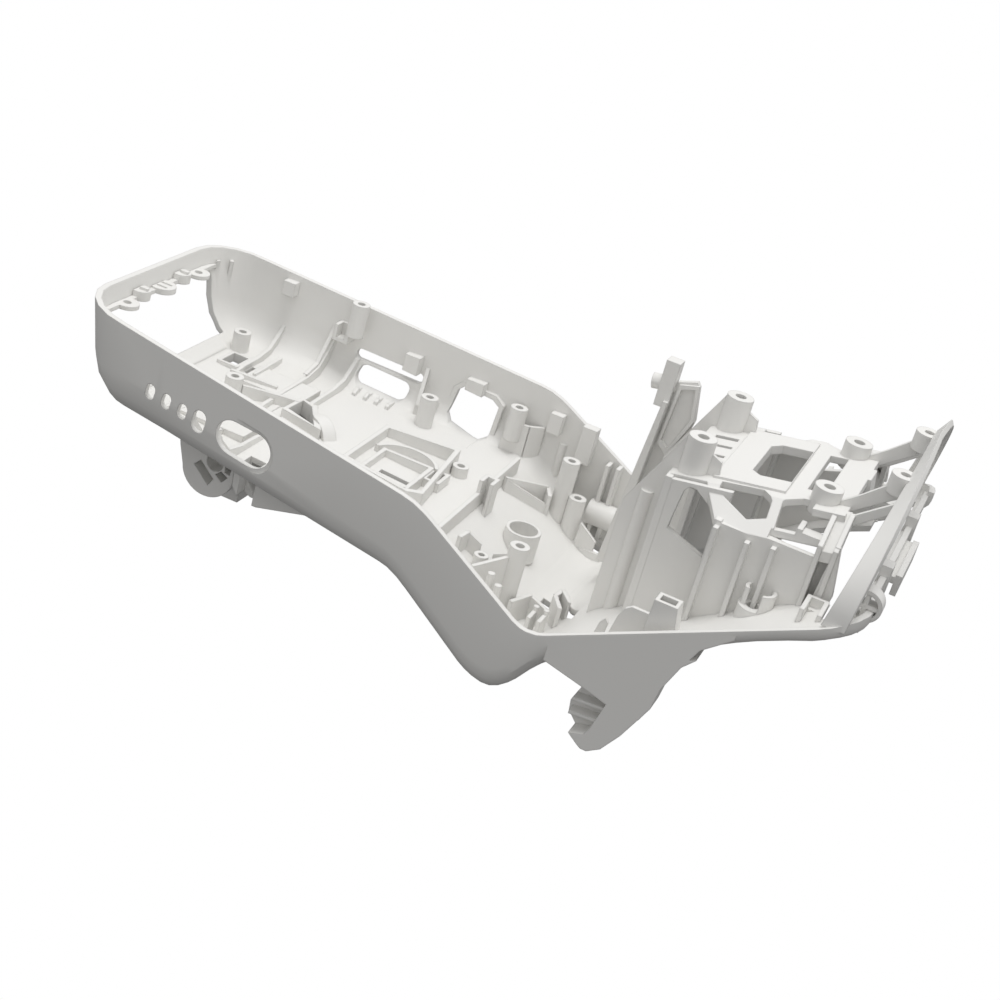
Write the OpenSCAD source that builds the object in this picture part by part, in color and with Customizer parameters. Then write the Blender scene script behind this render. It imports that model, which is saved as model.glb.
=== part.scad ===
// Injection moulded plastic housing: a long open-topped shell with a dropped belly, two front legs,
// two rear lugs, a raised front deck and an arch over the nose. All of it is one moulding.
// X runs from the rear end to the nose, Y across, Z up along the screw bosses. Feet stand at Z = 0.

/* [Shell] */
// Length from the rear end to the bend of the rim
rear_len = 96.5; // [94:0.1:100]
// Length from the bend of the rim to the nose
nose_len = 97.4; // [96:0.1:102]
// Half width at the rear end, before its corners are rounded
rear_half_w = 33.2; // [31:0.1:36]
// Half width at the bend
mid_half_w = 44.2; // [42:0.1:46]
// Half width along the nose
nose_half_w = 46.5; // [45:0.1:49]
// Lean of the rear end wall, inward per unit of depth
end_draft = 0.19; // [0.05:0.01:0.22]
// Wall thickness
wall = 1.5; // [1.2:0.1:2]
// Thickness of ribs and small webs
rib = 1.1; // [0.8:0.1:1.4]
// Plan radius of the rear corners
corner_r = 14; // [12:0.5:16]
// Radius of the long lower edges
edge_r = 7; // [5:0.5:8]
// Radius of the lower edges at the rear end
rear_edge_r = 11.5; // [10:0.5:13]
// Radius of the lower edges at the nose
nose_edge_r = 3; // [2.5:0.5:3.5]
// Plan radius of the nose corners
nose_r = 9; // [8:0.5:10]

/* [Heights] */
// Rim height at the rear end
rear_rim = 47.7; // [46:0.1:50]
// Rim height at the bend
bend_rim = 38.1; // [37:0.1:40]
// Rim height at its lowest point
low_rim = 20; // [19:0.1:21]
// Rim height at the nose corners
nose_rim = 48; // [46:0.1:50]
// Inside floor height at the rear end
rear_floor = 24.8; // [23:0.1:26]
// Inside floor height at the bend
bend_floor = 18.9; // [18:0.1:20]
// Inside floor height in the belly
belly_floor = 2.9; // [2.5:0.1:4]
// Distance from the bend to the lowest point of the rim
low_x = 31.5; // [30:0.1:33]

/* [Side openings] */
// Number of small round holes in the near wall
sound_n = 3; // [2:1:3]
// Spacing of the small holes
sound_pitch = 4.7; // [4.4:0.1:5]
// Diameter of the small holes
sound_d = 2.5; // [2:0.1:3]
// Length of the long rounded hole in the near wall
port_len = 14.5; // [12:0.1:16]
// Height of the long rounded hole in the near wall
port_h = 8.6; // [7:0.1:9]
// Width of the square opening in the far wall
square_w = 11; // [10:0.1:13]

/* [Bosses] */
// Outer diameter of the small floor bosses
boss_d = 4.6; // [4:0.1:5]
// Bore of the small floor bosses
boss_bore = 2; // [1.6:0.1:2.4]
// Outer diameter of the deck bosses
deck_boss_d = 6.4; // [6:0.1:7]
// Bore of the deck bosses
deck_bore = 2.6; // [2.2:0.1:3]
// Spacing of the deck bosses along the body
deck_dx = 28.9; // [28:0.1:30]
// Spacing of the deck bosses across the body
deck_dy = 31.4; // [30:0.1:33]
// Height of the deck boss tops
deck_top = 65.4; // [64:0.1:68]
// Depth of every screw bore
bore_deep = 7; // [5:0.5:8]

/* [Nose] */
// Height of the arch over the nose
arch_top = 75; // [73:0.5:80]
// Height where the arch starts
arch_foot = 49; // [47:0.5:50]
// Distance the middle plate stands out from the nose
plate_out = 1.8; // [0.8:0.1:2.4]
// Half width of the deck
deck_half_w = 21; // [20:0.1:22]
// Half width of the box under the deck
core_half_w = 28; // [27:0.1:30]
// Thickness of the deck
deck_t = 1.6; // [1.3:0.1:2]
// Slope of the deck, rise per unit of length
deck_slope = 0.173; // [0.15:0.005:0.19]

/* [Feet] */
// Diameter of the rounded rear lugs
lug_d = 14; // [12:0.1:15]
// Distance of the rear lugs' outer faces from the middle
lug_y = 20; // [19:0.1:22]
// Thickness of a front leg
leg_t = 6; // [5:0.1:7]

/* [Hidden] */
$fn = 40;
body_color = "gainsboro";
deck_x = 49.6;                     // rear pair of deck bosses
deck_z0 = 57.1;                    // deck surface at the rear pair
square_x = -19.6;                   // middle of the square opening
ledge_z = 43.4;
floor_hole = [-79.6, -75.4, 13.3, 19.8]; // framed square opening of the floor
ear_y = 16.5;
ledge_x = -rear_len + 0.8;           // inner lip of the rear end wall
ramp_x = -2.6;                       // start and end of the ramp into the belly
belly_x0 = 21.4;
belly_x1 = 28.3;
step_x = 36.6;
lug_x = nose_len - 5.2;              // pair of lugs under the arch
lug_half = 14.9;
arm_x = deck_x + deck_dx + 3.5;      // front of the deck, where the arms start
// rising floor of the nose: distance from the bend, inside height
nose_floor = [[step_x, 15.6], [68, 34.3], [74, 39], [86, 45], [nose_len, 49.5]];

function lerp(a, b, t) = a + (b - a) * t;
function half_w(x) = x < 0 ? lerp(mid_half_w, rear_half_w, -x / rear_len)
    : lerp(mid_half_w, nose_half_w, min(1, x / 36));
function rim_z(x) = x < 0 ? lerp(bend_rim, rear_rim, -x / rear_len)
    : x < low_x ? lerp(bend_rim, low_rim, x / low_x)
    : lerp(low_rim, nose_rim, (x - low_x) / (88 - low_x));
function floor_z(x) = x < ramp_x ? lerp(bend_floor, rear_floor, -x / rear_len)
    : x < belly_x0 ? lerp(floor_z(ramp_x - 0.01), belly_floor, (x - ramp_x) / (belly_x0 - ramp_x))
    : x < belly_x1 ? belly_floor
    : x < step_x ? lerp(belly_floor, nose_floor[0][1], (x - belly_x1) / (step_x - belly_x1))
    : lookup(x, nose_floor);
function deck_z(x) = deck_z0 + deck_slope * (x - deck_x);

// ---- shell skin: rings of points around the plan outline, stepping down the wall and into the floor
xs = [-70, -20, -7, -4, -1, 2, 4, 18, 20, 22, 24, 26, 28, 30, 31.5, 34, 36, 38.5, 41,
    65, 68, 71, 74, 78, 84];
rear_arc = -rear_len + corner_r;
nose_arc = nose_len - nose_r;
arc_n = 5;
round_n = 4;
function soft_rim(x) = (rim_z(x - 3) + rim_z(x - 1) + rim_z(x + 1) + rim_z(x + 3)) / 4;
function soft_floor(x) = (floor_z(x - 3) + floor_z(x - 1) + floor_z(x + 1) + floor_z(x + 3)) / 4;
function edge(x) = x < 0 ? lerp(rear_edge_r, edge_r, max(0, min(1, (x + 74) / 74)))
    : lerp(edge_r, nose_edge_r, max(0, min(1, (x - step_x) / 37)));
// plan outline of one side: [x, y, outward x, outward y], rear end first
outline = concat(
    [for (k = [0:arc_n]) let (a = 180 - 90 * k / arc_n)
        [rear_arc + corner_r * cos(a), half_w(rear_arc) - corner_r + corner_r * sin(a),
            cos(a), sin(a)]],
    [for (x = xs) [x, half_w(x), 0, 1]],
    [for (k = [0:arc_n]) let (a = 90 - 90 * k / arc_n)
        [nose_arc + nose_r * cos(a), nose_half_w - nose_r + nose_r * sin(a),
            cos(a), sin(a)]]);
n_side = len(outline);
ring = 2 * n_side;
function skin_pt(o, s, lev, i) = let (x = o[0], r = edge(x) - i,
        a = 90 * max(0, lev - 1) / round_n,
        z = lev == 0 ? soft_rim(x) : soft_floor(x) - wall + i + r * (1 - sin(a)),
        lean = i + r * (1 - cos(a)) + end_draft * max(0, -o[2]) * (soft_rim(x) - z),
        d = o[2] < 0 ? min(lean, corner_r - 0.6) : lean)
    [o[0] - o[2] * d, s * (o[1] - o[3] * d), z];
function skin_ring(lev, i) = concat(
    [for (k = [0:n_side - 1]) skin_pt(outline[k], 1, lev, i)],
    [for (k = [n_side - 1:-1:0]) skin_pt(outline[k], -1, lev, i)]);
levels = round_n + 2;
skin_pts = [for (i = [0, wall]) for (lev = [0:levels - 1]) each skin_ring(lev, i)];
function quad(a, b, c, d) = [[a, b, c], [a, c, d]];
function walls(base, flip) = [for (lev = [0:levels - 2]) for (j = [0:ring - 1])
    let (p = base + lev * ring + j, q = base + lev * ring + (j + 1) % ring)
    each (flip ? quad(q, p, p + ring, q + ring) : quad(p, q, q + ring, p + ring))];
function bottom(base, flip) = [for (k = [0:n_side - 2])
    let (p = base + k, q = base + k + 1, r = base + ring - 2 - k, t = base + ring - 1 - k)
    each (flip ? quad(p, t, r, q) : quad(p, q, r, t))];
inner = levels * ring;
skin_faces = concat(walls(0, true), bottom((levels - 1) * ring, true),
    walls(inner, false), bottom(inner + (levels - 1) * ring, false),
    [for (j = [0:ring - 1]) let (q = (j + 1) % ring) each quad(j, q, inner + q, inner + j)]);

// solid just inside the outer skin and open to the sky, which trims what stands in the shell
env_pts = [for (lev = [0:levels - 1]) each [for (v = skin_ring(lev, 0.4)) lev == 0 ? [v[0], v[1], 95] : v]];
env_faces = concat(walls(0, true), bottom((levels - 1) * ring, true), bottom(0, false));
module inside() intersection() {
    union() children();
    polyhedron(env_pts, env_faces, convexity = 4);
}

// a side view drawn in X and Z, given a thickness along Y from y0 to y1
module side(y0, y1) translate([0, y1, 0]) rotate([90, 0, 0]) linear_extrude(y1 - y0) children();

// a cross-section drawn in Y and Z, given a thickness along X from x0 to x1
module across(x0, x1) translate([x0, 0, 0]) rotate([90, 0, 90]) linear_extrude(x1 - x0) children();

module box(x0, x1, y0, y1, z0, z1) translate([x0, y0, z0]) cube([x1 - x0, y1 - y0, z1 - z0]);

module rounded(x0, x1, z0, z1, r) {
    translate([x0 + r, z0]) square([x1 - x0 - 2 * r, z1 - z0]);
    translate([x0, z0 + r]) square([x1 - x0, z1 - z0 - 2 * r]);
    for (x = [x0 + r, x1 - r], z = [z0 + r, z1 - r]) translate([x, z]) circle(r = r);
}

module both() { children(); mirror([0, 1, 0]) children(); }

// wall position on the far side (s = 1) or near side (s = -1), inside face
function in_y(x) = half_w(x) - wall;

// ---- hollow screw boss standing on the floor
module boss(x, y, top, d = boss_d, bore = boss_bore, foot = 3) {
    z = floor_z(x);
    difference() {
        translate([x, y, z - foot]) cylinder(d = d, h = top - z + foot);
        translate([x, y, top - min(bore_deep, top - z + 0.5)]) cylinder(d = bore, h = 20);
    }
}

// upright web between two points of the plan, from z0 to its two top heights
module web(a, b, z0, za, zb, t = rib) {
    d = b - a;
    len = norm(d);
    translate([a[0], a[1], 0]) rotate([0, 0, atan2(d[1], d[0])]) side(-t / 2, t / 2)
        polygon([[0, z0], [len, z0], [len, zb], [0, za]]);
}

// ---- rear end: window, ledge with its lugs, tapered fins
module rear_cuts() {
    across(-rear_len - 2, -rear_len + 10) rounded(-25, 25, rear_floor - 6, 42.4, 3);
}

module rear_ledge() {
    z = ledge_z;
    difference() {
        union() {
            box(-rear_len + 1, ledge_x + 3.2, -27, 27, z - 1, z);
            translate([ledge_x + 3, 0, z - 1.2]) cylinder(d = 6.8, h = 1.6);
            for (s = [-1, 1]) {
                translate([ledge_x + 3.4, s * ear_y, z - 1.6]) cylinder(d = 6, h = 1.6);
                box(ledge_x + 0.6, ledge_x + 2.6, s * 9.3 - 2.4, s * 9.3 + 2.4, z - 4, z + 1.4);
                translate([ledge_x + 2.6, s * 9.3, z - 4]) cylinder(d = 4.8, h = 5.4);
                box(ledge_x + 2.2, ledge_x + 4.4, s * 9.3 - 0.5, s * 9.3 + 0.5, z, z + 2);
            }
        }
        for (s = [-1, 1]) {
            translate([ledge_x + 3.4, s * ear_y, z - 3]) cylinder(d = 2, h = 6);
            box(ledge_x + 2, ledge_x + 4.8, s * 1.2 - 0.4, s * 1.2 + 0.4, z, z + 2);
        }
    }
}

// tapered fins in the rear corners
module rear_fins() both() for (v = [[ledge_x + 1.4, 27.4, -30], [ledge_x + 4.6, 31, -58]])
    translate([v[0], v[1], 0]) rotate([0, 0, v[2]]) side(-0.5, 0.5)
        polygon([[-2.4, 44.4], [2.6, 44.4], [0.4, 31], [-2.4, 31]]);

// ---- rear floor: bosses, curved cross ribs, long ribs, openings
module rear_floor_parts() {
    boss(-80.8, 24.7, 29);
    boss(-68.8, 0.2, 28.2);
    boss(-80.8, -24.7, 29);
    for (v = [[-74, 2.4, 11], [-60, 3.2, -3], [-52.4, 2.8, 9]]) {
        side_rib(v[0], v[1], v[2]);
        mirror([0, 1, 0]) side_rib(v[0], v[1], max(12, -v[2] + 14));
    }
    web([-69.8, 13], [-70, 27.6], 22, 24.6, 24.8, 0.9);
    web([-74.4, 8.8], [-62, 11.2], 22, 25.4, 24.6);
    web([-66.6, 0.8], [-61.4, 4.8], 22, 26.4, 25.4);
    web([-61.4, 4.8], [-49.6, 10.4], 21, 25.4, 24.2);
    web([-53.2, -3], [-41.6, -5.4], 20, 24.2, 23.4, 0.9);
    // frames round the two openings of the floor
    difference() {
        union() {
            box(floor_hole[0] - 0.9, floor_hole[1] + 0.9, floor_hole[2] - 0.9, floor_hole[3] + 0.9,
                22, 24.7);
            tri_frame(1.1, 12, 24.6);
        }
        box(floor_hole[0], floor_hole[1], floor_hole[2], floor_hole[3], 10, 40);
        tri_frame(0, 5, 40);
    }
    strap();
}

// triangular opening of the floor, grown by g and filled to height top
module tri_frame(g, low, top) translate([0, 0, low]) linear_extrude(top - low)
    polygon([[-53.9 - g, 2.2 - 1.2 * g], [-45 + 2.4 * g, -1 - g], [-47 + g, 2.4 + g],
        [-50.4 + g, 8.2 + g], [-53.6 - g, 9.6 + g]]);

module strap() difference() {
    translate([-45.4, 3.4, 19.2]) rotate([0, 0, 60]) rotate([0, 90, 0]) difference() {
        cylinder(r = 6, h = 3.8, center = true);
        cylinder(r = 4.8, h = 5, center = true);
    }
    box(-70, -30, -30, 40, 0, 20);
}

// low rib that rises into the wall, on the far side
module side_rib(x, h, y0) {
    w = in_y(x) + 0.5;
    z = floor_z(x);
    across(x - rib / 2, x + rib / 2) polygon([[y0, z - 1], [y0, z + 0.8], [y0 + 4, z + 1.4],
        [w - 13, z + h * 0.6], [w - 7, z + h], [w - 2.4, z + h * 2.4], [w, z + h * 3.6], [w, z + 1],
        [w - 4, z - 1]]);
}

module floor_cuts() {
    box(floor_hole[0], floor_hole[1], floor_hole[2], floor_hole[3], 10, 40);
    box(-73.3, -71.9, 14.2, 18.8, 10, 40);
    tri_frame(0, 5, 40);
    box(-49.4, -45.2, -28.2, -23.4, 5, 40);
    box(-53, -46, -12, 24, 5, 19.6);
}

// ---- near wall: small holes in a row, a larger one and the long rounded port
module near_wall_cuts() {
    for (k = [0:sound_n - 1]) let (x = -71.7 + sound_pitch * k)
        wall_hole(x, rim_z(x) - 11.6, sound_d);
    wall_hole(-57.5, rim_z(-57.5) - 11.6, 3.6);
    x0 = -45.2;
    translate([x0, -half_w(x0), rim_z(x0) - 10.7]) rotate([0, 5.6, 0]) {
        side(-6, 6) slot(port_len, port_h);
        side(-1.6, 0.3) slot(port_len + 2.4, port_h + 2);
    }
}

module wall_hole(x, z, d) translate([x, -half_w(x), z]) rotate([0, 8, 0]) side(-4, 4) scale_slot(d);

module scale_slot(d) union() {
    translate([0, d * 0.3]) circle(d = d);
    translate([0, -d * 0.3]) circle(d = d);
    square([d, d * 0.6], center = true);
}

module slot(l, h) union() {
    square([l - h, h], center = true);
    for (s = [-1, 1]) translate([s * (l - h) / 2, 0]) circle(d = h);
}

// ---- far wall: vents, square opening, clips and ribs
module far_wall_cuts() {
    x0 = -43.8;
    translate([x0, half_w(x0), 29.9]) rotate([0, 4, 0]) side(-6, 6) slot(19, 2.8);
    translate([x0 - 0.4, half_w(x0), 25.2]) rotate([0, 5.6, 0]) side(-8, 6)
        rounded(-7.2, 7.2, -2.4, 2.6, 2.2);
    square_hole(0, -12, 8);
    box(-34, -29.5, in_y(-31) - 1.5, in_y(-31) + 6, 20.4, 23.4);
}

// square opening of the far wall with its corners cut, grown by g all round
module square_hole(g, y0, y1) translate([square_x, half_w(square_x), 24.6]) side(y0, y1)
    polygon([[-square_w / 2 + 2 - g / 2, 7 + g], [square_w / 2 - 0.8 + g / 2, 6.4 + g],
        [square_w / 2 + 1.3 + g, 5 + g / 2], [square_w / 2 + 0.6 + g, -3.8 - g / 2],
        [square_w / 2 - 1.6 + g / 2, -5 - g], [square_w / 2 - 3 - g / 2, -4.8 - g],
        [-square_w / 2 + 1 - g / 2, -3.2 - g], [-square_w / 2 - 0.6 - g, -1.2 - g / 2],
        [-square_w / 2 + 0.4 - g, 5.4 + g / 2]]);

module far_wall_parts() {
    // collar of the square opening
    difference() {
        intersection() {
            square_hole(1.3, -2.4, 1.6);
            translate([0, 0, -10]) linear_extrude(80) polygon([[-60, 0], [60, 0],
                [60, half_w(60) - 0.4], [0, mid_half_w - 0.4], [-60, half_w(-60) - 0.4]]);
        }
        square_hole(0, -12, 8);
    }
    // snap clips: a block with a slot behind its hook
    clip(-73.9, 43.8, 3.4, 3.8);
    clip(-37.6, 35.6, 4.2, 6);
    clip(-20, 34.6, 5, 5);
    clip(2.6, 33.4, 3.6, 5.4);
    clip(11.8, 33, 4, 10);
    // screw bosses held to the wall by a web
    wall_boss(-53.8, 44.8, 9);
    wall_boss(-7.2, 32.2, 9);
    boss(-28.9, 31.6, 28.7);
    web([-28.9, 33.6], [-28.9, 38.6], 18, 27, 25);
    boss(11.1, 34.7, 25.7);
    web([11.1, 36.6], [11.1, 43], 8, 24, 22);
    boss(15.4, 34.5, 16.8);
    // small bracket below the first boss
    bx = -57;
    difference() {
        box(bx - 2.2, bx + 2.2, in_y(bx) - 4, in_y(bx) + 0.5, 33.2, 37.6);
        box(bx - 1.2, bx + 1.2, in_y(bx) - 5, in_y(bx) - 1, 34.2, 40);
    }
    // rib along the wall and the low ribs under the vents
    side_rib(-60.6, 4, 24);
    for (k = [0:3]) let (x = -48.6 + 3.1 * k) across(x - 0.5, x + 0.5) polygon([[in_y(x) - 8,
        floor_z(x) - 1], [in_y(x) - 8, floor_z(x) + 0.8], [in_y(x) - 3, floor_z(x) + 3.4],
        [in_y(x) + 0.5, floor_z(x) + 4.6], [in_y(x) + 0.5, floor_z(x) + 2], [in_y(x) - 3,
        floor_z(x) - 1]]);
    web([-32.6, 34], [-33.8, 38.8], 17, 24, 33);
    // half round rib down the ramp wall
    translate([5.6, in_y(6) + 0.2, 5]) cylinder(d = 2.2, h = 20.5);
    // pair of upright ribs and the rolled block between them
    for (x = [19, 21.8]) box(x - rib / 2, x + rib / 2, in_y(x) - 3.2, in_y(x) + 0.5, 5, 25.4);
    intersection() {
        translate([21.6, 41.2, 11.6]) rotate([0, 90, 0]) cylinder(d = 6.6, h = 8.4, center = true);
        box(10, 30, 30, in_y(21) + 0.5, 0, 30);
    }
}

module clip(x, top, w, h) {
    y = in_y(x);
    difference() {
        box(x - w / 2, x + w / 2, y - 2.6, y + 0.5, top - h, top);
        box(x - w / 2 + 0.8, x + w / 2 - 0.8, y - 1.7, y - 0.4, top - h - 1, top - 1);
    }
}

module wall_boss(x, top, h) {
    y = in_y(x) - 3;
    difference() {
        union() {
            translate([x, y, top - h]) cylinder(d = boss_d, h = h);
            box(x - rib, x + rib, y, in_y(x) + 0.5, top - h, top - 1);
        }
        translate([x, y, top - min(h - 1.5, bore_deep)]) cylinder(d = boss_bore, h = 20);
    }
}

// ---- middle: tray compartment, cross ribs, post, L-shaped flap
module middle_parts() {
    // raised frame of the tray
    difference() {
        tray(0, 16, 23.4);
        tray(1.2, 10, 40);
    }
    difference() {
        union() {
            box(-28.9, -14.9, -8.6, 7.2, 16, 22.4);
            box(-15.4, -10.6, 0.6, 7.8, 16, 22);
        }
        box(-27.8, -16, -10, 6.1, 10, 40);
        box(-14.4, -11.6, 1.6, 6.8, 10, 40);
    }
    translate([-22.3, 3.6, 17]) difference() {
        cylinder(r = 9.3, h = 5.6);
        translate([0, 0, -1]) cylinder(r = 8.2, h = 8);
        box(-12, 12, -12, 3, -2, 9);
    }
    difference() {
        translate([-10.8, 14.6, 16]) cylinder(d = 4.2, h = 6.2);
        translate([-10.8, 14.6, 10]) cylinder(d = 2, h = 20);
    }
    // C-shaped post and cross rib
    difference() {
        box(-2.4, 1.4, 5, 9.6, 12, 25.2);
        box(-1.4, 0.4, 4, 8.4, 10, 30);
    }
    web([-1.8, -24], [-1.8, 32], 15, 21.6, 22.2);
    web([-9.6, 38.2], [-3.4, 39.6], 16, 28, 28);
    web([-3.4, 39.6], [-0.2, 42.4], 12, 28, 28);
    web([-9.4, 42], [-3.4, 39.6], 16, 22, 28);
    // rib wall in front of the far bosses
    web([-0.6, 21], [7.2, 34], 8, 21, 17);
    web([7.2, 34], [9.4, 30], 7, 17, 16.4);
    web([-0.6, 21], [8.6, 30], 8, 20.6, 14);
}

module tray(g, z0, z1) translate([0, 0, z0]) linear_extrude(z1 - z0) polygon([
    [-33.4 + g, -8 + g], [-33.4 + g, 17.6 - g], [-13.6 - g, 20.2 - g], [-10.4 - g, -10 + g],
    [-14 - g, -12 + g]]);

module tray_cuts() {
    box(-25.3, -17.2, -2.4, -0.6, 10, 40);
    box(-24.4, -17.2, -6.6, -5, 10, 40);
}

// ---- belly: collar ring, tall boss, small bosses, holes
module belly_parts() {
    difference() {
        translate([10.6, 9, 8]) cylinder(d = 9, h = 7.6);
        translate([10.6, 9, 8]) cylinder(d = 7.2, h = 30);
    }
    boss(16.5, -12.7, 22.2, 4.8, 2.2, 3);
    web([9, -21], [16.5, -12.7], 6, 17, 20);
    web([10.4, -9.6], [16.5, -12.7], 6, 16, 20);
    boss(8.4, -13.6, 16.6, 3.6, 1.6);
    for (v = [[14.1, -21.4, 17.4], [16.6, -22.2, 15.6]]) translate([v[0], v[1], 5])
        cylinder(d = 1.8, h = v[2] - 5);
    web([2.6, -15.2], [3, -10.6], 12, 19.6, 19.4);
    web([3, -10.6], [6.6, -9.4], 9, 19.4, 17);
    // ribs and framed pockets near the near wall
    web([19.2, -17.4], [21.4, -9.2], 1.6, 10.4, 9.6);
    web([21.4, -9.2], [26.4, -10.4], 1.6, 9.6, 8.2);
    for (x = [24.6, 27.2]) {
        box(x - 0.5, x + 0.5, -18.4, -13.6, 1.6, 8.8);
        translate([x, -13.6, 1.6]) cylinder(d = 1.4, h = 8.2);
    }
    web([26.2, -5.2], [26.8, -1.2], 1.6, 9.9, 9.9);
    web([26.8, -1.2], [31, -8.6], 1.6, 9.9, 11.4);
    web([26.2, -5.2], [29.8, -12.4], 1.6, 9.9, 11);
    difference() {
        box(20, 26, 32.4, 42, 1.6, 5);
        box(21, 25, 33.4, 41, 0, 9);
    }
    web([18.4, 33.2], [23.4, 33.6], 3, 11.4, 7.6);
}

module belly_cuts() {
    translate([9.9, -3, 0]) cylinder(d = 3.4, h = 30);
    box(21.8, 24.4, -1.4, 3, -5, 8);
    box(21.6, 24.4, 34, 40.4, -5, 8);
    translate([0, 0, -5]) linear_extrude(26) polygon([[28.2, 3.6], [33.6, -9.6], [33.6, -14.6], [30.4, -6.8]]);
}

// ---- front deck on its box, drawn level and then tipped to the deck's slope
module on_deck() translate([deck_x, 0, deck_z0]) rotate([0, -atan(deck_slope), 0]) children();

module deck_plan(t0, t1) on_deck() translate([0, 0, t0]) linear_extrude(t1 - t0) children();

shoulder = core_half_w - deck_half_w;

module deck() {
    difference() {
        union() {
            deck_plan(-deck_t, 0) polygon([[-3.8, -deck_half_w + 1], [35, -deck_half_w + 1],
                [35, deck_half_w - 1], [-3.8, deck_half_w - 1]]);
            deck_plan(-deck_t, 0.5) translate([5, -deck_half_w + 4]) square([16, 2 * deck_half_w - 8]);
            both() shoulder_slab();
        }
        // the large window and the narrow one in front of it
        deck_plan(-4, 4) polygon([[11.6, -8.6], [13.8, -10.8], [20.8, -10.8], [20.8, 10.6],
            [13.8, 10.6], [11.6, 8.4]]);
        deck_plan(-4, 4) polygon([[24.6, -11.5], [28.7, -11.5], [28.7, 12], [24.6, 12]]);
        // vents beside the rear boss
        for (v = [[8.7, 1.8], [2.9, 1.4], [-3.6, 1.4], [-8.7, 1.2]])
            deck_plan(-4, 4) translate([-1.6, v[0] - v[1] / 2]) square([5.4, v[1]]);
        both() {
            deck_plan(-5, 3) polygon([[7.4, -18], [16.6, -17.6], [19.2, -21], [19.2, -24.4],
                [15.2, -25.4], [7.6, -21.4]]);
            deck_plan(-5, 3) polygon([[21.4, -20.6], [25.2, -17.4], [32, -17.4], [32, -34],
                [21.4, -34]]);
        }
    }
    for (x = [deck_x, deck_x + deck_dx], s = [-1, 1]) deck_boss(x, s * deck_dy / 2);
    // gusset in front of each rear boss, and the tab at the front edge
    both() side(deck_dy / 2 - 0.5, deck_dy / 2 + 0.5) polygon([[deck_x + 2, 56], [deck_x + 6, 57.6],
        [deck_x + 5.6, 61.4], [deck_x + 2, 63]]);
    deck_plan(-5, 0) translate([34.6, 2]) square([1.2, 7]);
}

// shoulder between the deck and the side wall of the box
module shoulder_slab() intersection() {
    on_deck() across(0, 36) polygon([[deck_half_w - 2, 0], [deck_half_w - 0.8, 0],
        [core_half_w, 0.6 - shoulder], [core_half_w, -1.8 - shoulder],
        [core_half_w - wall, -1.8 - shoulder], [core_half_w - wall, -shoulder],
        [deck_half_w - 1, -deck_t], [deck_half_w - 2, -deck_t]]);
    deck_plan(-20, 5) polygon([[4, 19], [5, 21], [10.2, 29], [36, 29], [36, 19]]);
}

module deck_boss(x, y) translate([x, y, deck_z(x) - 3])
    cylinder(d = deck_boss_d, h = deck_top - deck_z(x) + 3);

module core() {
    both() {
        // rear part of the side wall
        side(22 - wall, 22) polygon([[45.4, 12], [60.4, 24], [60.4, 58.4], [46, 56]]);
        box(59.4, 59.4 + wall, 21, core_half_w, 22, 54);
        // front part of the side wall, one step further out
        side(core_half_w - wall, core_half_w) polygon([[59.4, 24], [81, 37.6], [82.6, 38],
            [82.6, 56], [71, 53.6], [59.4, 53.6]]);
        // upright ribs on the outside of the box
        for (v = [[60.4, 53], [67.6, 52.4], [73.2, 53.4]]) box(v[0] - rib / 2, v[0] + rib / 2,
            core_half_w - 0.5, core_half_w + 2, floor_z(v[0]) - 0.6, v[1]);
        // cross webs at the front of the box and the panel between them
        for (x = [82, 85.4]) across(x - rib / 2, x + rib / 2) polygon([[19.6, floor_z(x) + 16],
            [19.6, deck_z(x)], [21.6, deck_z(x)], [core_half_w + 0.8, 57.6],
            [core_half_w + 0.8, floor_z(x) - 0.6], [core_half_w - 4, floor_z(x) - 0.6],
            [core_half_w - 4, floor_z(x) + 10]]);
        side(core_half_w - 5, core_half_w - 5 + wall) polygon([[81.6, 38], [85.8, 43], [85.2, 57],
            [81.6, 59]]);
        box(83, 88, core_half_w - 2, core_half_w + 4, floor_z(84) - 0.4, floor_z(84) + 0.8);
        // small arm with its cross bar in the shoulder opening
        box(77, 82, 22.4, 27.6, 56.6, 57.6);
        box(76, 77.2, 20.8, 28.8, 55.9, 58.2);
        // web running back from the deck boss, sloping down to the rear
        side(deck_dy / 2 - 0.6, deck_dy / 2 + 0.6) polygon([[36.8, 14], [36.8, 44.8], [46.6, 65],
            [49, 65], [49, 54], [47, 14]]);
        translate([41.6, deck_dy / 2 + 0.4, 12]) cylinder(d = 3, h = 37);
        web([47, 15.7], [46.4, 22], 13, 56, 56, wall);
    }
    // outer pillars at the front of the box; the far one is lower and deeper
    side(-core_half_w, 1.2 - core_half_w) polygon([[83.4, 38], [87.2, 42.8], [87.9, 47.3],
        [87.5, 50], [86.1, 58.4], [85, 58.4]]);
    side(core_half_w - 1.2, core_half_w) polygon([[83.4, 38], [88, 43.6], [91, 45], [91, 49.4],
        [83.4, 50.4]]);
    // rear wall of the box
    difference() {
        box(45.4, 45.4 + wall, -22, 22, 13, 56.4);
        box(44, 48, -13, 13, 22, 48);
    }
    nose_brackets();
    // cup shaped boss on the outside of the near wall of the box
    cup_boss(73.2, -core_half_w - 2, 39.6);
}

module cup_boss(x, y, z) difference() {
    union() {
        translate([x, y, z - 4]) cylinder(d = 6.4, h = 4);
        box(x - 3.2, x + 3.2, y, y + 3, z - 4, z);
        translate([x + 0.6, y + 0.6, z - 4]) cylinder(d = 7, h = 8);
    }
    translate([x + 0.6, y + 0.6, z]) cylinder(d = 5.2, h = 10);
    translate([x, y, z - 3]) cylinder(d = 2.8, h = 10);
    box(x - 5, x + 1.6, y - 6, y - 1, z, z + 10);
}

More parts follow.
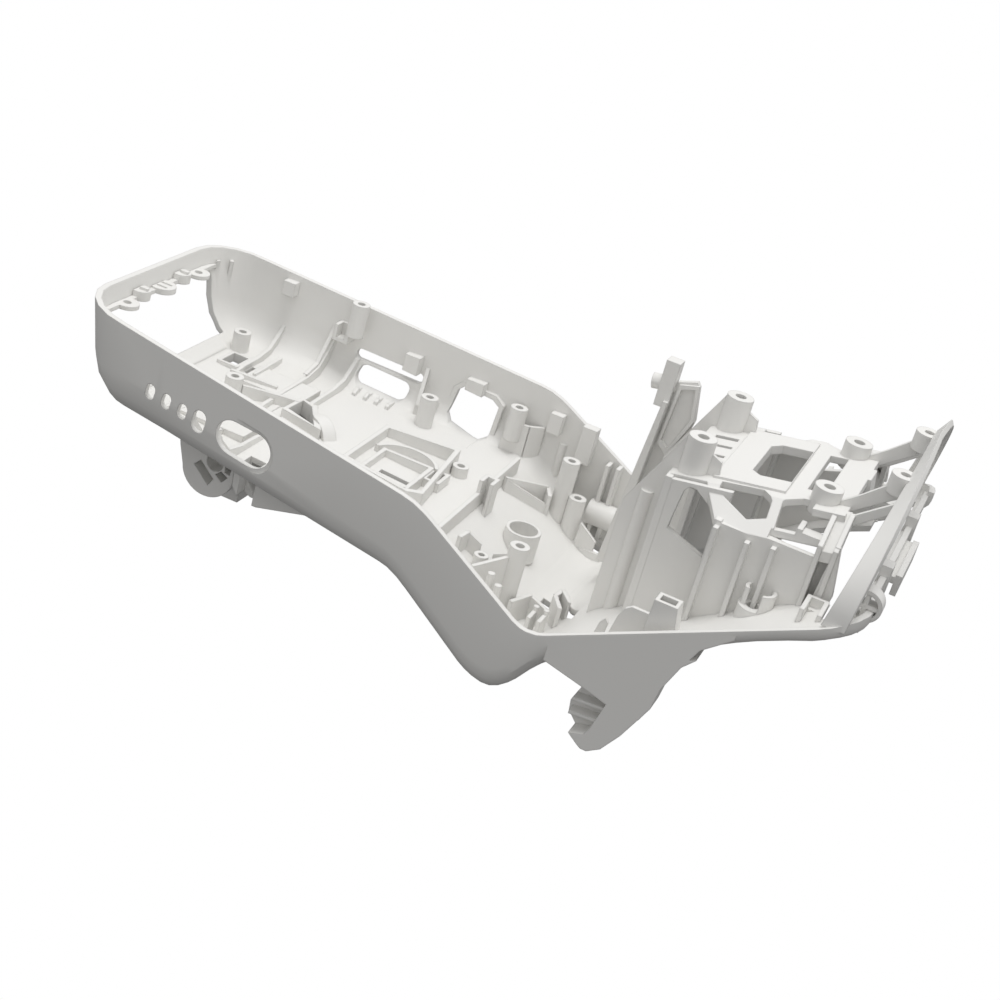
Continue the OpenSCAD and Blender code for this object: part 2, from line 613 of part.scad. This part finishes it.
// brackets that stand on the rising floor beside the near wall
module nose_brackets() {
    side(-40.6, -39.5) polygon([[46.8, 22], [48.4, 30.4], [49.4, 32.6], [50.8, 33.6], [54.8, 33.6],
        [56.4, 29], [56.4, 24]]);
    side(-39.6, -38.4) polygon([[50, 22], [51, 29], [52, 31], [52.8, 30.6], [52, 24]]);
    side(-40.2, -39.2) polygon([[43.4, 19], [45, 27], [46, 28.4], [46.8, 27.4], [46, 19]]);
    difference() {
        side(-43, -38.6) polygon([[54.4, 24], [55.2, 38.6], [60.4, 38.6], [61.8, 30], [60, 27]]);
        side(-42, -39.6) polygon([[55.4, 32], [56.2, 40], [59.4, 40], [60.4, 32]]);
        side(-39.4, -38) polygon([[55.6, 30], [56.2, 37.6], [59.4, 37.6], [60.4, 30]]);
    }
    difference() {
        box(83.2, 88, -37.6, -29.6, 42, 47);
        box(84.2, 87, -38, -30.6, 44, 50);
    }
}

// openings in the walls of the box
module core_cuts() {
    // five-sided window, on the near side only
    side(-26, -18) polygon([[49.2, 45], [50.2, 54.6], [51.2, 56], [52.8, 56], [58.9, 51.8],
        [59, 50.4], [58.5, 41.6], [57.6, 42]]);
    // lowered top of the side wall under the front shoulder opening
    box(71, 81.4, -core_half_w - 1, -core_half_w + wall + 0.5, 54.4, 70);
    // opening low in the far wall of the box and one below its shoulder
    side(24, 32) polygon([[63.6, 27.6], [74.6, 28], [73.6, 36], [70, 35.6],
        [67, 33.4], [65, 31]]);
    side(24, 32) polygon([[71.6, 51.4], [76.8, 53.2], [76, 57.6], [71, 55.4]]);
}

// tall post on the far side with its cap and side barrel
module far_post() {
    y = 19;
    side(y, y + 1.6) polygon([[30.4, 12], [38.2, 12], [38.8, 44], [40.6, 54], [39.2, 62.4],
        [38.4, 63.4], [34, 61.8], [32.8, 56], [31, 30]]);
    side(y - 1, y) difference() {
        polygon([[33.6, 46], [36.6, 43.4], [40.6, 54], [39.4, 63], [34.6, 61.6]]);
        polygon([[34.4, 47], [36.4, 45.4], [39.6, 54.4], [38.6, 61.8], [35.4, 60.6]]);
    }
    side(y - 3, y + 4) polygon([[28.4, 12], [31.4, 12], [33.6, 57], [32.4, 57]]);
    box(30.1, 33.6, y - 1.6, y + 2.2, 55, 66.6);
    translate([30.8, y + 0.4, 60.4]) rotate([0, 80, 0]) cylinder(d = 3.8, h = 5.6, center = true);
    web([39, 19.8], [47, 21], 12, 46, 56);
}

// ---- nose: arch, its lugs and arms, the low front bar
// t runs over the arch, u from its rear edge (0) to its front edge (1), g goes inward
function arch_pt(t, u, g) = let (c = cos(t), s = sin(t))
    [nose_len + lerp(-8.6, -4, s) + u * (lerp(5, 1.6, s) + 1.6 * s * abs(c)) + 0.6 * g * s,
        -(nose_half_w - 1.2 - g) * c, arch_foot + (arch_top - arch_foot) * s + (5 * u - 0.8 * g) * s];
arch_n = 24;
arch_pts = [for (k = [0:arch_n]) let (t = 180 * k / arch_n)
    each [arch_pt(t, 0, 0), arch_pt(t, 1, 0), arch_pt(t, 1, wall), arch_pt(t, 0, wall)]];
arch_faces = concat(
    [for (k = [0:arch_n - 1]) for (c = [0:3]) let (a = 4 * k + c, b = 4 * k + (c + 1) % 4)
        each quad(b, a, a + 4, b + 4)],
    quad(0, 1, 2, 3), quad(4 * arch_n + 3, 4 * arch_n + 2, 4 * arch_n + 1, 4 * arch_n));

module arch() polyhedron(arch_pts, arch_faces, convexity = 4);

module nose_parts() {
    both() {
        // lug with a hole, and the two arms that run back to the deck
        translate([lug_x, lug_half, 69.4]) cylinder(d = 6, h = 4.4);
        box(lug_x - 1.2, lug_x + 2.8, lug_half - 2.7, lug_half + 2.7, 69.4, 73.2);
        side(lug_half + 0.2, lug_half + 1.4) polygon([[arm_x - 3, 60], [arm_x - 0.6, 63.2],
            [arm_x + 3, 66.2], [lug_x - 0.7, 72.4], [lug_x + 0.4, 68.6], [arm_x + 4, 63.4],
            [arm_x, 60]]);
        side(lug_half + 4.5, lug_half + 5.7) polygon([[arm_x, 58.8], [arm_x + 2.6, 62.4],
            [lug_x + 1.2, 69.6], [lug_x + 2.2, 68], [arm_x + 4, 61]]);
        deck_plan(-deck_t, 0) translate([28, 14]) square([7, 8]);
    }
    // front bar with its middle plate and the two round fittings
    box(nose_len - 3.2, nose_len - 1.6, -36, 36, 46, 50);
    box(nose_len - 3, nose_len + plate_out, -12, 9.6, 48.4, 50);
    box(nose_len + plate_out - 1.4, nose_len + plate_out, -12, 9.6, 45.8, 50.6);
    box(nose_len - 2.4, nose_len - 1, -38, 38, 49, 51.6);
    both() box(nose_len - 3, nose_len - 0.4, -17.4, -13.6, 47, 54);
    translate([nose_len - 2.2, 0, 53.2]) {
        difference() {
            side(-38.4, -34.6) circle(d = 7.2);
            side(-39, -34) circle(d = 5.4);
        }
        box(-0.5, 0.5, -38.2, -35, -3.2, 3.2);
        box(-3.2, 3.2, -38.2, -35, -0.5, 0.5);
        box(-2.4, 0.6, -38, -33, -4.6, -2.6);
    }
}

// screw bores of the deck bosses and the nose lugs
module bores() {
    for (x = [deck_x, deck_x + deck_dx], s = [-1, 1]) translate([x, s * deck_dy / 2,
        deck_top - bore_deep]) cylinder(d = deck_bore, h = 20);
    both() translate([lug_x, lug_half, 60]) cylinder(d = 2.2, h = 20);
}

// ---- underside: front legs, rear lugs, belly rim
module legs() both() difference() {
    side(nose_half_w - leg_t, nose_half_w) polygon([[44.8, 17], [45.9, 11.4], [44.5, 7.6], [44.8, 5],
        [47.2, 2.4], [49.6, 0.6], [50.6, 0], [52, 0], [54.8, 1.9], [58, 7],
        [62.2, 16], [62.9, 21.3], [65.4, 28], [68, 31], [60, 28]]);
    side(nose_half_w - leg_t + 1.4, nose_half_w + 1) polygon([[42, 15.4], [46.9, 14.4], [53.1, 13.2],
        [51.3, 5.8], [50.4, 3.6], [47, 2.6], [42, 3]]);
}

// flush outer face that joins each leg to its wall
module leg_face() both() side(nose_half_w - wall, nose_half_w) polygon([[37.1, 16.6], [46.9, 14.3],
    [54, 12.4], [60.6, 12.4], [62.2, 16.1], [62.9, 21.3], [65.4, 27.8], [68, 33.5], [74, 38.8],
    [74, 40], [60, 33], [37.1, 21.5]]);

module leg_ribs() both() for (z = [6, 9.4]) side(nose_half_w - leg_t + 1, nose_half_w - 1.6)
    polygon([[45.4, z], [52.6, z + 0.6], [52.6, z + 1.4], [45.4, z + 0.8]]);

// rear lugs: a round ended plate with a bore and three pockets; the foot between them is hidden
lug_z = 12;
module lugs() {
    both() difference() {
        translate([-61.3, 0, lug_z]) union() {
            side(lug_y - 12, lug_y) circle(d = lug_d);
            side(lug_y - 12, lug_y) polygon([[-lug_d / 2 + 0.6, -2.6], [lug_d / 2 - 0.4, -2.6],
                [lug_d / 2 + 0.4, 12], [-lug_d / 2 - 3.4, 12], [-lug_d / 2 - 1.4, 3.4]]);
        }
        translate([-59.8, 0, 14.6]) side(lug_y - 4, lug_y + 1) {
            circle(d = 4.6);
            polygon([[2.6, 0.8], [4.6, 0.4], [4.4, -1.8], [3, -1.6]]);
            polygon([[-5.4, -2.6], [-3.8, -0.8], [0.4, -4.4], [-0.8, -6.6]]);
            polygon([[0.6, -3], [2, -1.6], [4, -2.6], [2.6, -4.4]]);
        }
    }
    box(-65, -57.6, -8, 8, 0, 22.6);
    box(-62, -60.6, -9, 9, 8, 22.6);
}

module belly_rim() difference() {
    side(-27, 27) polygon([[-51.4, 22], [-51, 14.6], [-49.6, 12.6], [-47.6, 11.6],
        [-44, 11.7], [-32, 14.8], [-24, 16.4], [-20, 18.6]]);
    side(-25.4, 25.4) polygon([[-49, 24], [-48.8, 14.8], [-47.8, 13.4], [-40, 5], [-20, 5],
        [-24, 18.6], [-24, 18]]);
}

module housing() {
    difference() {
        union() {
            shell();
            inside() {
                rear_ledge();
                rear_fins();
                rear_floor_parts();
                far_wall_parts();
                middle_parts();
                belly_parts();
                core();
                far_post();
            }
            arch();
            deck();
            nose_parts();
            legs();
            leg_face();
            belly_rim();
            leg_ribs();
            lugs();
        }
        rear_cuts();
        floor_cuts();
        near_wall_cuts();
        far_wall_cuts();
        tray_cuts();
        belly_cuts();
        core_cuts();
        bores();
    }
}

module shell() difference() {
    polyhedron(skin_pts, skin_faces, convexity = 6);
    // the nose is open below the deck
    box(deck_x - 2.6, nose_len + 5, -deck_half_w + 0.4, deck_half_w - 0.4, -5, 60);
    box(nose_len - 10, nose_len + 5, -core_half_w - 8, core_half_w + 8, -5, 60);
}

translate([(rear_len - nose_len - plate_out) / 2, 0, 0]) color(body_color)
    housing();
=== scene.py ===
# Injection moulded plastic housing before plain white
import math

import bmesh
import bpy
from mathutils import Matrix, Vector
from mathutils.bvhtree import BVHTree


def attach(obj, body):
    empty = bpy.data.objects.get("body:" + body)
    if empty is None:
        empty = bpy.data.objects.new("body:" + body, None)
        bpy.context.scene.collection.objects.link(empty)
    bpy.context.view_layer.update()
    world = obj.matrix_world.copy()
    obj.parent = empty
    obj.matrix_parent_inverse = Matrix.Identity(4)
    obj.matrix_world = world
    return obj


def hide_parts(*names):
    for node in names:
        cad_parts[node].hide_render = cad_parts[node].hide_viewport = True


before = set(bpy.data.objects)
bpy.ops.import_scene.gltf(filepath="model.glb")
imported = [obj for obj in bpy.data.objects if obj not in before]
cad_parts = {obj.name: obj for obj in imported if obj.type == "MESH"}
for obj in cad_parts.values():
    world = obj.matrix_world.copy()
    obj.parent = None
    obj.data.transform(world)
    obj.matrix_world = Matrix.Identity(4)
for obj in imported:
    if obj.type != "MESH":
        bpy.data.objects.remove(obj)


def keepSize():
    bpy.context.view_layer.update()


keepSize()
scene = bpy.context.scene


def toLinear(hexColour):
    parts = [int(hexColour[i:i + 2], 16) / 255 for i in (1, 3, 5)]
    return [p / 12.92 if p <= 0.04045 else ((p + 0.055) / 1.055) ** 2.4 for p in parts] + [1.0]


def addNode(tree, kind, settings=None, **links):
    node = tree.nodes.new(kind)
    for name, value in (settings or {}).items():
        if name in node.inputs:
            node.inputs[name].default_value = value
        else:
            setattr(node, name, value)
    for name, socket in links.items():
        tree.links.new(socket, node.inputs[name.replace("_", " ")])
    return node


def newMaterial(name):
    material = bpy.data.materials.new(name)
    material.use_nodes = True
    tree = material.node_tree
    tree.nodes.clear()
    return material, tree


# Injection moulded plastic, taken as ABS and pale grey-white all through: opaque, with soft edges
plastic = {
    "colour": "#E9E8E5",
    "ior": 1.5,
    "satinRoughness": 0.5,
    "grainRoughness": 0.62,
    "grainSize": 0.0009,  # several times the real grain, and it still hardly shows from this far
    "grainDepth": 0.00007,
    "grainDetail": 3.0,
    "grainFalloff": 0.55,
    "cornerSoftness": 0.0004,
    "cornerSamples": 4,
}


def plasticMaterial(name, roughness, grain):
    material, tree = newMaterial(name)
    place = addNode(tree, "ShaderNodeTexCoord")
    soft = addNode(tree, "ShaderNodeBevel",
                   {"samples": plastic["cornerSamples"], "Radius": plastic["cornerSoftness"]})
    normal = soft.outputs["Normal"]
    if grain:
        mottle = addNode(tree, "ShaderNodeTexNoise",
                         {"Scale": 1 / plastic["grainSize"], "Detail": plastic["grainDetail"],
                          "Roughness": plastic["grainFalloff"]},
                         Vector=place.outputs["Object"])
        bump = addNode(tree, "ShaderNodeBump", {"Distance": plastic["grainDepth"], "Strength": 1.0},
                       Height=mottle.outputs["Fac"], Normal=normal)
        normal = bump.outputs["Normal"]
    shader = addNode(tree, "ShaderNodeBsdfPrincipled",
                     {"Base Color": toLinear(plastic["colour"]), "Roughness": roughness,
                      "IOR": plastic["ior"]},
                     Normal=normal)
    out = addNode(tree, "ShaderNodeOutputMaterial")
    tree.links.new(shader.outputs["BSDF"], out.inputs["Surface"])
    return material


# Satin face left by a polished mould: a soft wide sheen on the inside
satinPlastic = plasticMaterial("satinMouldedPlastic", plastic["satinRoughness"], False)
# Fine even grain left by a spark eroded mould: duller outer walls
grainedPlastic = plasticMaterial("grainedMouldedPlastic", plastic["grainRoughness"], True)

# Body of the housing: half widths of its plan from the rear end to the nose, and what counts as outside
body = {
    "bendHalfWidth": 0.0442,
    "rearHalfWidth": 0.0332,
    "noseHalfWidth": 0.0465,
    "rearLength": 0.0965,
    "noseFlare": 0.036,
    "bendX": -0.00135,
    "skinBand": 0.0006,
    "rearBand": 0.006,
    "mostUpward": 0.15,
    "downward": -0.5,
    "underside": -0.2,
    "rayLift": 2e-5,
    "weldDistance": 1e-6,
    "sharpAngle": 28,
}


def halfWidth(x):
    d = x - body["bendX"]
    if d < 0:
        narrowing = body["rearHalfWidth"] - body["bendHalfWidth"]
        return body["bendHalfWidth"] + narrowing * -d / body["rearLength"]
    flare = body["noseHalfWidth"] - body["bendHalfWidth"]
    return body["bendHalfWidth"] + flare * min(1, d / body["noseFlare"])


# faces of the outer walls and the underside: they look outward and nothing stands before them
def outerFaces(mesh):
    tree = BVHTree.FromBMesh(mesh)
    rearEnd = body["bendX"] - body["rearLength"] + body["rearBand"]
    found = []
    for face in mesh.faces:
        centre, normal = face.calc_center_median(), face.normal
        if normal.z > body["mostUpward"]:
            continue
        outward = normal.y * centre.y > 0 or normal.x * centre.x > 0 or normal.z < body["downward"]
        onWall = abs(centre.y) > halfWidth(centre.x) - body["skinBand"]
        near = onWall or centre.x < rearEnd or normal.z < body["underside"]
        start = centre + normal * body["rayLift"]
        if outward and near and tree.ray_cast(start, normal)[0] is None:
            found.append(face)
    return found


def dressHousing():
    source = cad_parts["housing"]
    mesh = bmesh.new()
    mesh.from_mesh(source.data)
    bmesh.ops.remove_doubles(mesh, verts=mesh.verts, dist=body["weldDistance"])
    for face in mesh.faces:
        face.material_index = 0
        face.smooth = True
    for face in outerFaces(mesh):
        face.material_index = 1
    data = bpy.data.meshes.new("housingDressed")
    mesh.to_mesh(data)
    mesh.free()
    data.materials.clear()
    data.materials.append(satinPlastic)
    data.materials.append(grainedPlastic)
    piece = bpy.data.objects.new("housingDressed", data)
    bpy.context.collection.objects.link(piece)
    if "custom_normal" in data.attributes:
        data.attributes.remove(data.attributes["custom_normal"])
    data.set_sharp_from_angle(angle=math.radians(body["sharpAngle"]))
    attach(piece, "root")
    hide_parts("housing")
    return piece


dressHousing()
print("housing dressed")

# Camera fitted to the picture
view = {
    "place": (0.10865, -0.376, 0.2108),
    "azimuth": 15.56,
    "elevation": 25.48,
    "roll": 15.82,
    "lens": 65.398,
    "sensor": 36,
    "nearClip": 0.01,
    "farClip": 10,
}


def placeCamera():
    a, e, r = (math.radians(view[k]) for k in ("azimuth", "elevation", "roll"))
    back = Vector((math.sin(a) * math.cos(e), -math.cos(a) * math.cos(e), math.sin(e)))
    right = Vector((math.cos(a), math.sin(a), 0))
    up = back.cross(right)
    across = right * math.cos(r) + up * math.sin(r)
    above = up * math.cos(r) - right * math.sin(r)
    data = bpy.data.cameras.new("camera")
    data.lens = view["lens"]
    data.sensor_width = view["sensor"]
    data.clip_start, data.clip_end = view["nearClip"], view["farClip"]
    camera = bpy.data.objects.new("camera", data)
    bpy.context.collection.objects.link(camera)
    rows = [(across[i], above[i], back[i], view["place"][i]) for i in range(3)]
    camera.matrix_world = Matrix(rows + [(0, 0, 0, 1)])
    scene.camera = camera


placeCamera()

# Soft studio: one broad lamp overhead, a surround lighter above than below, white behind to the camera
studio = {
    "above": 0.68,
    "below": 0.12,
    "keyPower": 5.0,
    "keySize": 0.5,
    "keyPlace": (0.04, 0.02, 1.05),
    "keyAim": (0, 0, 0.03),
    "blendHeight": 0.5,
    "backdrop": 1.0,
}


def placeKeyLamp():
    data = bpy.data.lights.new("key", "AREA")
    data.shape = "DISK"
    data.size = studio["keySize"]
    data.energy = studio["keyPower"]
    lamp = bpy.data.objects.new("key", data)
    bpy.context.collection.objects.link(lamp)
    place = Vector(studio["keyPlace"])
    lamp.location = place
    lamp.rotation_mode = "QUATERNION"
    lamp.rotation_quaternion = (place - Vector(studio["keyAim"])).to_track_quat("Z", "Y")


def lightSurround():
    world = bpy.data.worlds.new("surround")
    world.use_nodes = True
    tree = world.node_tree
    tree.nodes.clear()
    ray = addNode(tree, "ShaderNodeLightPath")
    place = addNode(tree, "ShaderNodeTexCoord")
    height = addNode(tree, "ShaderNodeSeparateXYZ", Vector=place.outputs["Generated"])
    level = addNode(tree, "ShaderNodeMapRange",
                    {"From Min": -studio["blendHeight"], "From Max": studio["blendHeight"],
                     "To Min": studio["below"], "To Max": studio["above"]}, Value=height.outputs["Z"])
    around = addNode(tree, "ShaderNodeBackground", {"Color": (1, 1, 1, 1)},
                     Strength=level.outputs["Result"])
    white = addNode(tree, "ShaderNodeBackground", {"Color": (1, 1, 1, 1), "Strength": studio["backdrop"]})
    mix = addNode(tree, "ShaderNodeMixShader")
    tree.links.new(ray.outputs["Is Camera Ray"], mix.inputs[0])
    tree.links.new(around.outputs[0], mix.inputs[1])
    tree.links.new(white.outputs[0], mix.inputs[2])
    out = addNode(tree, "ShaderNodeOutputWorld")
    tree.links.new(mix.outputs[0], out.inputs["Surface"])
    scene.world = world


placeKeyLamp()
lightSurround()
scene.view_settings.view_transform = "Standard"
print("camera and lamps set")

keepSize()
